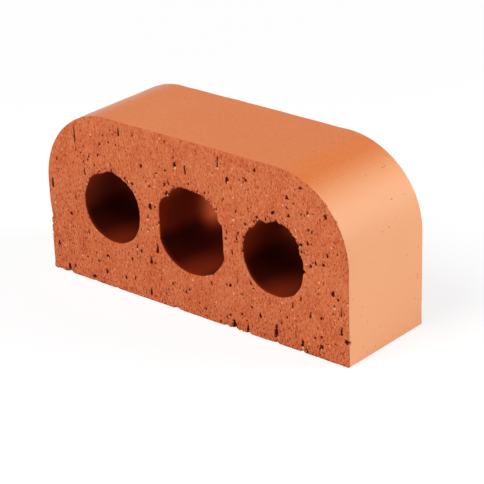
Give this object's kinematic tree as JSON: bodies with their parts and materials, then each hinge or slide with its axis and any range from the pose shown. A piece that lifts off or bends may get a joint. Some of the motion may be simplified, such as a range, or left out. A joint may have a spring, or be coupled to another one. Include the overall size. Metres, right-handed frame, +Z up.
{
  "type": "bullnose clay brick",
  "caption": "Extruded, wire-cut clay brick with a rounded corner at each end of one long edge and round through perforations, for pier, wall-end and coping work.",
  "frame": {"origin": "centre of the underside, the plain long edge face that the brick stands on", "axes": "+X along the length, +Y through the thickness from the front cut face to the back one, which is the way the clay was extruded, +Z up towards the edge with the two bullnoses"},
  "size_m": [0.215, 0.065, 0.1025],
  "materials": {
    "fired_clay": "matte"
  },
  "bodies": {
    "root": {"bullnose_brick": "fired_clay"}
  },
  "joints": []
}
